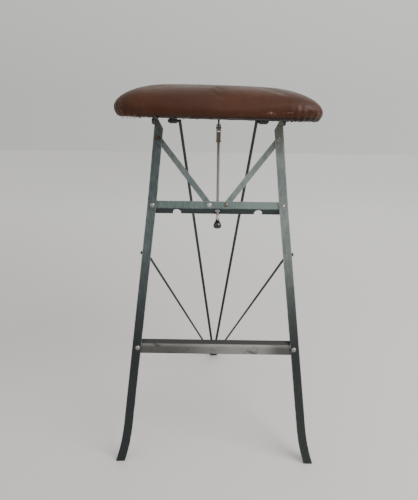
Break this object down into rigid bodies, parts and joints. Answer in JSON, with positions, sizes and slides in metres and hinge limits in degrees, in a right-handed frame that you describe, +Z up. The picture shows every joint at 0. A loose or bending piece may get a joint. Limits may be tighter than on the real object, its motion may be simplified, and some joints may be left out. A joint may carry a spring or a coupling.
{
  "type": "folding stool",
  "caption": "Folding metal stool with a padded seat, a leaning front frame with a footrest, a hinged V-shaped rear leg, tie struts and a knobbed lock rod.",
  "frame": {"origin": "middle of the open stool's footprint box, on the floor", "axes": "+Z up, -Y towards the front where the sitter's legs go, +X to the viewer's right when looking at the front frame"},
  "size_m": [0.3844, 0.433, 0.705],
  "materials": {
    "frame_enamel": "worn grey-green hammertone enamel",
    "rod_enamel": "worn dark green enamel on rod",
    "bracket_enamel": "dark enamel, dull",
    "footrest_steel": "bare steel, scuffed by feet",
    "rivet_steel": "bright rivet heads, slightly dulled",
    "rusty_rivet": "brown oxidised rivet heads",
    "screw_steel": "dull zinc",
    "pin_steel": "dark oiled steel",
    "board_wood": "aged plywood",
    "padding": "felted padding",
    "cover_vinyl": "cracked brown leathercloth",
    "tack_steel": "dull tack heads",
    "lock_steel": "browned steel",
    "knob_plastic": "glossy black"
  },
  "bodies": {
    "front_frame": {"left_leg": "frame_enamel", "right_leg": "frame_enamel", "upper_rail": "frame_enamel", "left_brace": "frame_enamel", "right_brace": "frame_enamel", "footrest": "footrest_steel", "leg_rail_rivets": "rivet_steel", "leg_brace_rivets": "rusty_rivet", "brace_rail_rivets": "rivet_steel", "footrest_rivets": "rivet_steel", "seat_hinge_pins": "pin_steel", "seat_hinge_washers": "screw_steel"},
    "seat": {"seat_board": "board_wood", "seat_pad": "padding", "seat_cover": "cover_vinyl", "cover_tacks": "tack_steel", "left_seat_bracket": "bracket_enamel", "right_seat_bracket": "bracket_enamel", "seat_bracket_screws": "screw_steel", "left_rod_clip": "bracket_enamel", "right_rod_clip": "bracket_enamel", "rod_clip_screws": "screw_steel", "lock_bracket": "bracket_enamel", "lock_bracket_screws": "screw_steel"},
    "lock_rod": {"lock_pivot_pin": "screw_steel", "lock_rod_fork": "lock_steel", "lock_rod_nut": "lock_steel", "lock_rod": "lock_steel", "knob_ferrule": "lock_steel", "lock_knob": "knob_plastic"},
    "rear_leg": {"left_rear_rod": "rod_enamel", "right_rear_rod": "rod_enamel", "rear_foot": "rod_enamel"},
    "struts": {"left_strut": "rod_enamel", "right_strut": "rod_enamel", "strut_washers": "screw_steel", "foot_pin": "pin_steel"}
  },
  "joints": [
    {"name": "seat_fold", "type": "hinge", "parent": "front_frame", "child": "seat", "pos_m": [0, -0.07229, 0.64], "axis": [-1, 0, 0], "range_deg": [0, 98]},
    {"name": "strut_swing", "type": "hinge", "parent": "front_frame", "child": "struts", "pos_m": [0, -0.12364, 0.3984], "axis": [-1, 0, 0], "range_deg": [0, 50.1]},
    {"name": "rear_leg_swing", "type": "hinge", "parent": "seat", "child": "rear_leg", "pos_m": [0, 0.0285, 0.641], "axis": [1, 0, 0], "range_deg": [0, 71.4]},
    {"name": "lock_rod_swing", "type": "hinge", "parent": "seat", "child": "lock_rod", "pos_m": [0, -0.06428, 0.629], "axis": [1, 0, 0], "range_deg": [0, 105.9]}
  ],
  "couplings": [
    {"joint": "strut_swing", "follows": "seat_fold", "ratio": 0.5107},
    {"joint": "rear_leg_swing", "follows": "seat_fold", "ratio": 0.7281},
    {"joint": "lock_rod_swing", "follows": "seat_fold", "ratio": 1.08}
  ]
}
